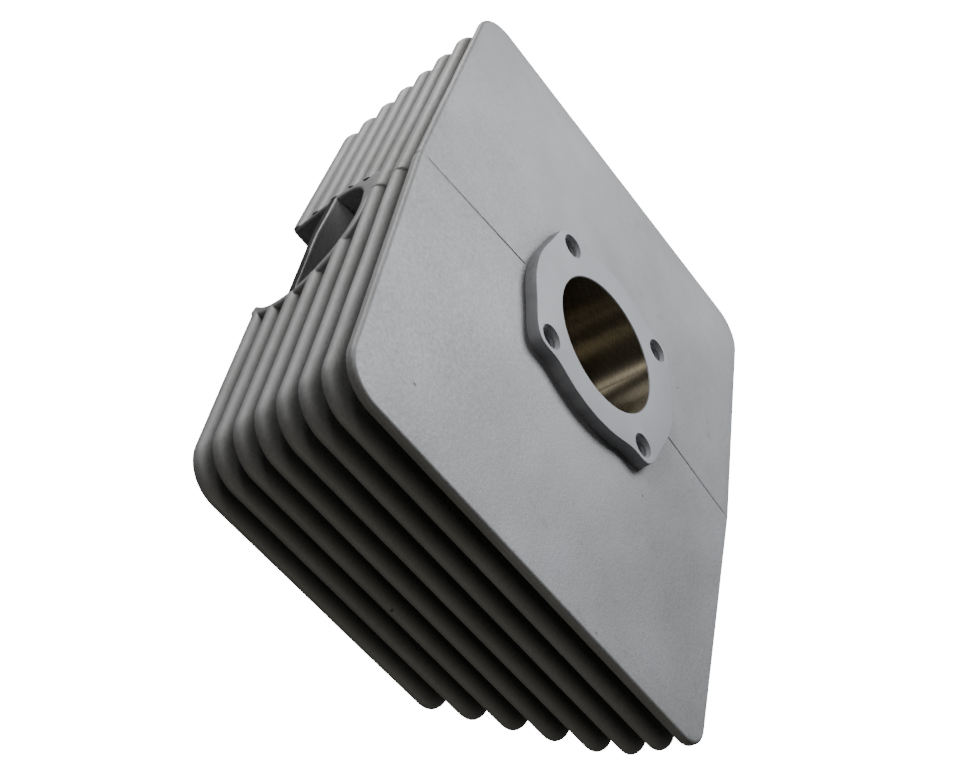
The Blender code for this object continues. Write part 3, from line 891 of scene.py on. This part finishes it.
def studio():
    """Plain floor that looks white but throws little light up, in nearly dark surroundings."""
    bpy.ops.mesh.primitive_grid_add(
        x_subdivisions=40, y_subdivisions=40, size=FLOOR_SIZE, location=(0.0, 0.0, FLOOR_Z))
    floor = bpy.context.active_object
    floor.name = "floor"
    m = Nodes("floor")
    path = m.add("ShaderNodeLightPath")
    tree = m.tree
    tint = m.ramp(m.noise(6.0, 2.0, 0.5), [(0.3, (0.80, 0.80, 0.80)), (0.7, (0.83, 0.83, 0.83))])
    seen = m.blend("MIX", path.outputs["Is Camera Ray"], (0.10, 0.10, 0.10), tint)
    m.link(seen, m.shader.inputs["Base Color"])
    m.shader.inputs["Roughness"].default_value = 0.9
    m.shader.inputs["Specular IOR Level"].default_value = 0.0
    glow = m.add("ShaderNodeEmission")
    glow.inputs["Color"].default_value = (1.0, 1.0, 1.0, 1.0)
    strength = m.add("ShaderNodeMath", operation="MULTIPLY")
    m.link(path.outputs["Is Camera Ray"], strength.inputs[0])
    strength.inputs[1].default_value = GLOW
    m.link(strength.outputs[0], glow.inputs["Strength"])
    both = m.add("ShaderNodeAddShader")
    m.link(m.shader.outputs[0], both.inputs[0])
    m.link(glow.outputs[0], both.inputs[1])
    m.link(both.outputs[0], tree.nodes["Material Output"].inputs["Surface"])
    floor.data.materials.append(m.material)

    world = bpy.data.worlds.new("studio")
    bpy.context.scene.world = world
    world.use_nodes = True
    back = world.node_tree.nodes["Background"]
    path = world.node_tree.nodes.new("ShaderNodeLightPath")
    level = world.node_tree.nodes.new("ShaderNodeMapRange")
    world.node_tree.links.new(path.outputs["Is Camera Ray"], level.inputs["Value"])
    level.inputs["To Min"].default_value = AMBIENT
    level.inputs["To Max"].default_value = GLOW
    world.node_tree.links.new(level.outputs["Result"], back.inputs["Strength"])
    back.inputs["Color"].default_value = (0.95, 0.97, 1.0, 1.0)


def area_light(name, place, aim, size, power, colour):
    """Soft rectangular light of (width, height) at a place, turned towards a point."""
    away = Vector(place) - Vector(aim)
    data = bpy.data.lights.new(name, "AREA")
    data.shape = "RECTANGLE"
    data.size, data.size_y = size
    data.energy = power
    data.color = colour
    lamp = bpy.data.objects.new(name, data)
    lamp.location = place
    lamp.rotation_euler = away.to_track_quat("Z", "Y").to_euler()
    bpy.context.scene.collection.objects.link(lamp)


def camera():
    """The photograph's viewpoint; the barrel was held on its corner, so the camera is rolled."""
    data = bpy.data.cameras.new("camera")
    data.sensor_width = 36.0
    data.sensor_fit = "HORIZONTAL"
    data.lens = 57.47
    data.clip_start = 0.01
    obj = bpy.data.objects.new("camera", data)
    back = Vector((0.76356, -0.41469, 0.49498)).normalized()
    right = Vector((-0.17633, 0.60350, 0.77762))
    right = (right - back * right.dot(back)).normalized()
    up = back.cross(right)
    turned = Matrix((right, up, back)).transposed().to_4x4()
    obj.matrix_world = Matrix.Translation((0.32627, -0.18177, 0.27226)) @ turned
    bpy.context.scene.collection.objects.link(obj)
    bpy.context.scene.camera = obj


studio()
HEAD = (0.0, 0.0, 0.095)
MIDDLE = (0.0, 0.0, 0.06)
# A high lamp for the top, a long low one for the fins' tips, a few faint ones for the dark
# side, and two narrow ones for the light bands in the bore
area_light("over", (-0.54, 0.14, 0.70), HEAD, (0.34, 0.34), 6.9, (0.94, 0.97, 1.0))
area_light("front", (-0.40, -0.50, 0.36), MIDDLE, (0.30, 0.30), 0.7, (0.98, 0.99, 1.0))
area_light("low_front", (-0.48, -0.42, 0.026), MIDDLE, (0.50, 0.05), 2.6, (1.0, 0.985, 0.96))
area_light("low_side", (0.70, 0.10, 0.030), MIDDLE, (0.5, 0.05), 0.30, (1.0, 0.93, 0.70))
area_light("fill", (0.60, -0.55, 0.40), MIDDLE, (0.5, 0.6), 0.05, (1.0, 0.90, 0.70))
area_light("bore_band", (0.02, -0.74, 0.50), HEAD, (0.04, 0.12), 1.1, (1.0, 0.99, 0.97))
area_light("bore_edge", (0.70, 0.25, 0.55), HEAD, (0.03, 0.14), 0.07, (1.0, 0.95, 0.80))
camera()
